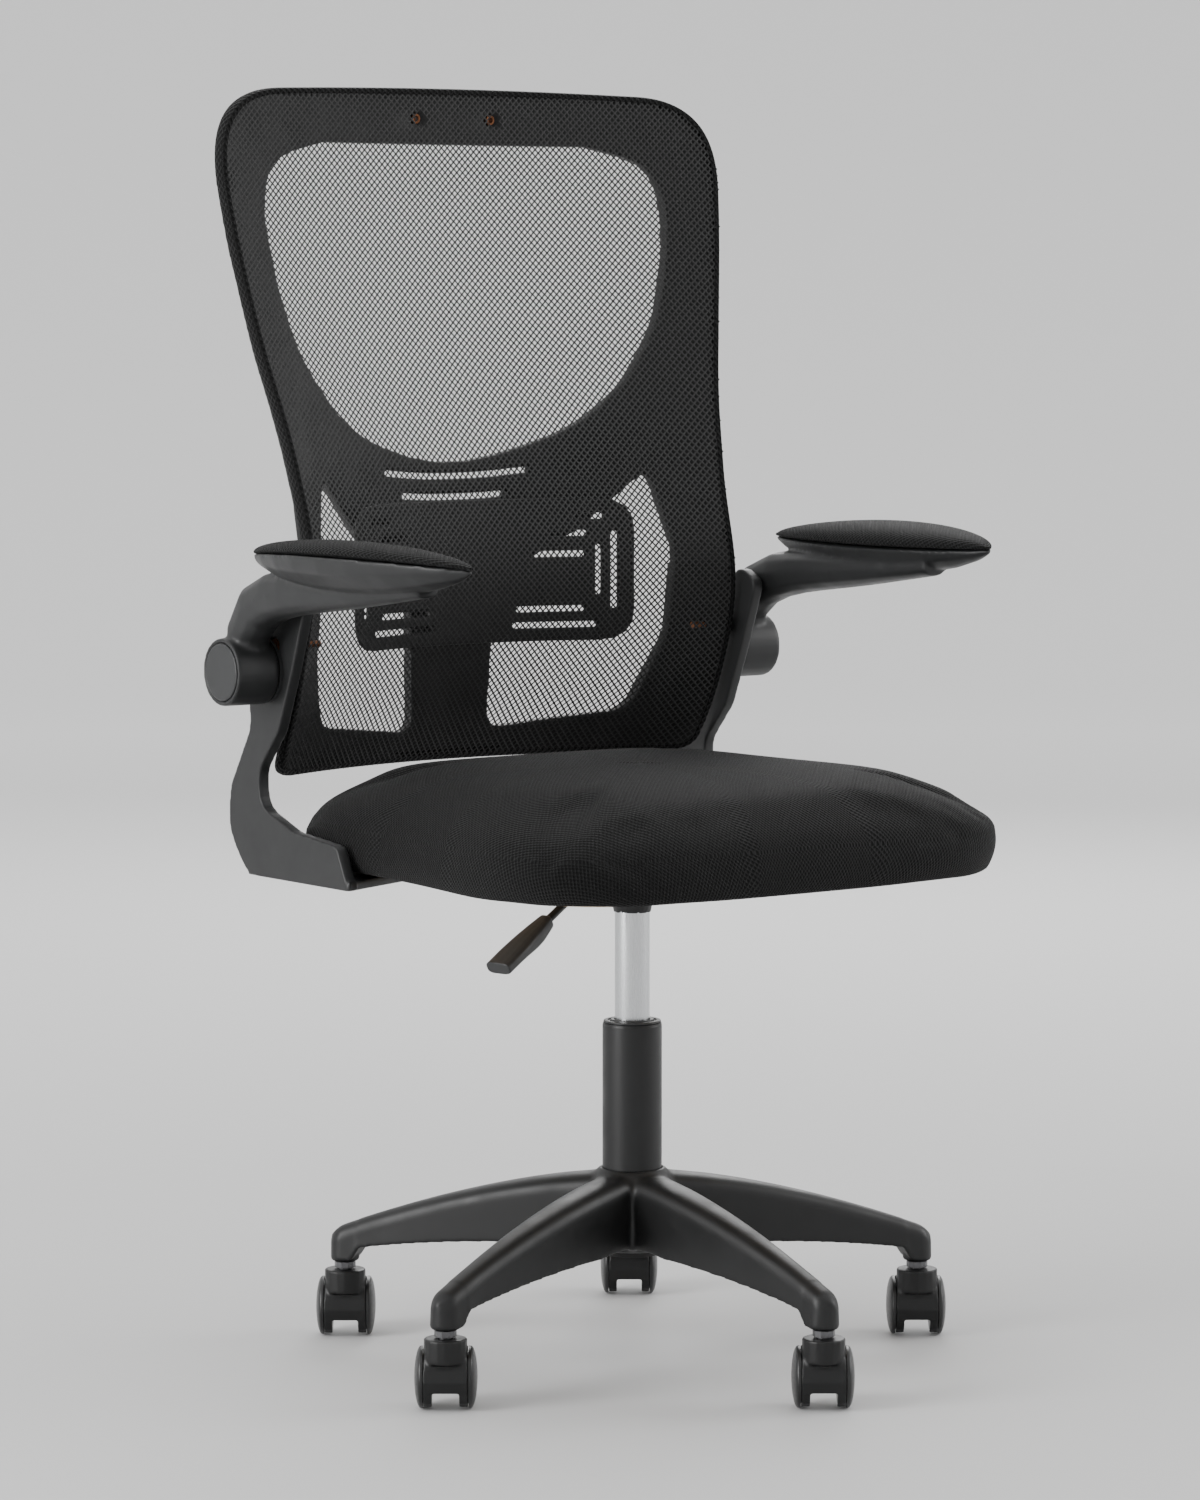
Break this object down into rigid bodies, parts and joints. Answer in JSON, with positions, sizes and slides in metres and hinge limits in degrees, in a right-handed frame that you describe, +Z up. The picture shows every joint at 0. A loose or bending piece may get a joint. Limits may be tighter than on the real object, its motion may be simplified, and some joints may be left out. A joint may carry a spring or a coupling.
{
  "type": "swivel office chair",
  "caption": "Swivel office chair with a star base on casters, gas lift, padded seat, flip-up padded armrests and a curved net back with a sliding lumbar plate.",
  "frame": {"origin": "middle of the chair's bounding box, at floor level; the gas column stands 7 mm forward of it", "axes": "+Z up along the gas column, -Y the way the sitter faces, +X the sitter's left hand"},
  "size_m": [0.629, 0.5754, 1.068],
  "materials": {
    "base_nylon": "satin moulded glass-filled nylon, fine grain",
    "caster_nylon": "satin moulded nylon",
    "caster_tread": "satin nylon wheel, lightly scuffed tread",
    "zinc_steel": "zinc-plated turned steel",
    "black_paint": "satin black powder coat",
    "satin_chrome": "satin chrome, drawn along the tube",
    "brass": "dull copper-brown",
    "plywood": "bare bent plywood",
    "seat_fabric": "black three-dimensional air mesh",
    "pad_fabric": "black three-dimensional air mesh",
    "back_net": "charcoal open net, stretched",
    "arm_plastic": "satin charcoal moulded nylon",
    "frame_plastic": "matte black moulded nylon",
    "hard_plastic": "satin black plastic"
  },
  "bodies": {
    "base": {"base_star": "base_nylon", "stand_tube": "black_paint", "guide_bushing": "hard_plastic", "caster_stem_1": "zinc_steel", "caster_stem_2": "zinc_steel", "caster_stem_3": "zinc_steel", "caster_stem_4": "zinc_steel", "caster_stem_5": "zinc_steel"},
    "column": {"gas_rod": "zinc_steel", "thrust_bearing": "zinc_steel", "retaining_clip": "zinc_steel"},
    "seat": {"piston_tube": "satin_chrome", "rod_guide": "brass", "seat_plate": "black_paint", "seat_board": "plywood", "seat_cushion": "seat_fabric", "back_frame": "frame_plastic", "back_mesh": "back_net", "headrest_insert_left": "brass", "headrest_insert_right": "brass", "arm_bracket_left": "arm_plastic", "back_bolt_left": "brass", "arm_friction_ring_left": "hard_plastic", "arm_pivot_bolt_left": "zinc_steel", "arm_bracket_right": "arm_plastic", "back_bolt_right": "brass", "arm_friction_ring_right": "hard_plastic", "arm_pivot_bolt_right": "zinc_steel"},
    "lever": {"lever_rod": "black_paint", "lever_paddle": "hard_plastic"},
    "pin": {"release_pin": "zinc_steel"},
    "lumbar": {"lumbar_support": "frame_plastic", "lumbar_knob": "frame_plastic"},
    "caster_1": {"caster_hood_1": "caster_nylon", "caster_axle_1": "zinc_steel"},
    "wheel_a_1": {"caster_wheel_a_1": "caster_tread"},
    "wheel_b_1": {"caster_wheel_b_1": "caster_tread"},
    "caster_2": {"caster_hood_2": "caster_nylon", "caster_axle_2": "zinc_steel"},
    "wheel_a_2": {"caster_wheel_a_2": "caster_tread"},
    "wheel_b_2": {"caster_wheel_b_2": "caster_tread"},
    "caster_3": {"caster_hood_3": "caster_nylon", "caster_axle_3": "zinc_steel"},
    "wheel_a_3": {"caster_wheel_a_3": "caster_tread"},
    "wheel_b_3": {"caster_wheel_b_3": "caster_tread"},
    "caster_4": {"caster_hood_4": "caster_nylon", "caster_axle_4": "zinc_steel"},
    "wheel_a_4": {"caster_wheel_a_4": "caster_tread"},
    "wheel_b_4": {"caster_wheel_b_4": "caster_tread"},
    "caster_5": {"caster_hood_5": "caster_nylon", "caster_axle_5": "zinc_steel"},
    "wheel_a_5": {"caster_wheel_a_5": "caster_tread"},
    "wheel_b_5": {"caster_wheel_b_5": "caster_tread"},
    "arm_left": {"armrest_left": "arm_plastic", "armrest_pad_left": "pad_fabric", "arm_pivot_cap_left": "hard_plastic"},
    "arm_right": {"armrest_right": "arm_plastic", "armrest_pad_right": "pad_fabric", "arm_pivot_cap_right": "hard_plastic"}
  },
  "joints": [
    {"name": "caster_swivel_1", "type": "hinge", "parent": "base", "child": "caster_1", "pos_m": [0, -0.26486, 0], "axis": [0, 0, 1], "continuous": true},
    {"name": "wheel_spin_a_1", "type": "hinge", "parent": "caster_1", "child": "wheel_a_1", "pos_m": [0.00647, -0.25596, 0.025], "axis": [-0.809, 0.5878, 0], "continuous": true},
    {"name": "wheel_spin_b_1", "type": "hinge", "parent": "caster_1", "child": "wheel_b_1", "pos_m": [0.00647, -0.25596, 0.025], "axis": [-0.809, 0.5878, 0], "continuous": true},
    {"name": "caster_swivel_2", "type": "hinge", "parent": "base", "child": "caster_2", "pos_m": [0.24537, -0.08659, 0], "axis": [0, 0, 1], "continuous": true},
    {"name": "wheel_spin_a_2", "type": "hinge", "parent": "caster_2", "child": "wheel_a_2", "pos_m": [0.25184, -0.07769, 0.025], "axis": [-0.809, 0.5878, 0], "continuous": true},
    {"name": "wheel_spin_b_2", "type": "hinge", "parent": "caster_2", "child": "wheel_b_2", "pos_m": [0.25184, -0.07769, 0.025], "axis": [-0.809, 0.5878, 0], "continuous": true},
    {"name": "caster_swivel_3", "type": "hinge", "parent": "base", "child": "caster_3", "pos_m": [0.15165, 0.20186, 0], "axis": [0, 0, 1], "continuous": true},
    {"name": "wheel_spin_a_3", "type": "hinge", "parent": "caster_3", "child": "wheel_a_3", "pos_m": [0.15811, 0.21076, 0.025], "axis": [-0.809, 0.5878, 0], "continuous": true},
    {"name": "wheel_spin_b_3", "type": "hinge", "parent": "caster_3", "child": "wheel_b_3", "pos_m": [0.15811, 0.21076, 0.025], "axis": [-0.809, 0.5878, 0], "continuous": true},
    {"name": "caster_swivel_4", "type": "hinge", "parent": "base", "child": "caster_4", "pos_m": [-0.15165, 0.20186, 0], "axis": [0, 0, 1], "continuous": true},
    {"name": "wheel_spin_a_4", "type": "hinge", "parent": "caster_4", "child": "wheel_a_4", "pos_m": [-0.14518, 0.21076, 0.025], "axis": [-0.809, 0.5878, 0], "continuous": true},
    {"name": "wheel_spin_b_4", "type": "hinge", "parent": "caster_4", "child": "wheel_b_4", "pos_m": [-0.14518, 0.21076, 0.025], "axis": [-0.809, 0.5878, 0], "continuous": true},
    {"name": "caster_swivel_5", "type": "hinge", "parent": "base", "child": "caster_5", "pos_m": [-0.24537, -0.08659, 0], "axis": [0, 0, 1], "continuous": true},
    {"name": "wheel_spin_a_5", "type": "hinge", "parent": "caster_5", "child": "wheel_a_5", "pos_m": [-0.23891, -0.07769, 0.025], "axis": [-0.809, 0.5878, 0], "continuous": true},
    {"name": "wheel_spin_b_5", "type": "hinge", "parent": "caster_5", "child": "wheel_b_5", "pos_m": [-0.23891, -0.07769, 0.025], "axis": [-0.809, 0.5878, 0], "continuous": true},
    {"name": "column_swivel", "type": "hinge", "parent": "base", "child": "column", "pos_m": [0, -0.00686, 0.1], "axis": [0, 0, 1], "continuous": true},
    {"name": "seat_lift", "type": "slide", "parent": "column", "child": "seat", "axis": [0, 0, 1], "range_m": [-0.085, 0]},
    {"name": "height_lever", "type": "hinge", "parent": "seat", "child": "lever", "pos_m": [-0.03864, -0.01722, 0.4078], "axis": [-0.2588, 0.9659, 0], "range_deg": [0, 5], "stiffness_Nm_per_rad": 2, "springref_deg": -5.73},
    {"name": "release_pin_travel", "type": "slide", "parent": "seat", "child": "pin", "axis": [0, 0, -1], "range_m": [0, 0.0036]},
    {"name": "lumbar_slide", "type": "slide", "parent": "seat", "child": "lumbar", "axis": [0, 0, 1], "range_m": [-0.02, 0.02]},
    {"name": "arm_flip_left", "type": "hinge", "parent": "seat", "child": "arm_left", "pos_m": [0.262, 0.18314, 0.579], "axis": [-1, 0, 0], "range_deg": [0, 90]},
    {"name": "arm_flip_right", "type": "hinge", "parent": "seat", "child": "arm_right", "pos_m": [-0.262, 0.18314, 0.579], "axis": [-1, 0, 0], "range_deg": [0, 90]}
  ],
  "couplings": [
    {"joint": "release_pin_travel", "follows": "height_lever", "m_per_rad": 0.04}
  ]
}
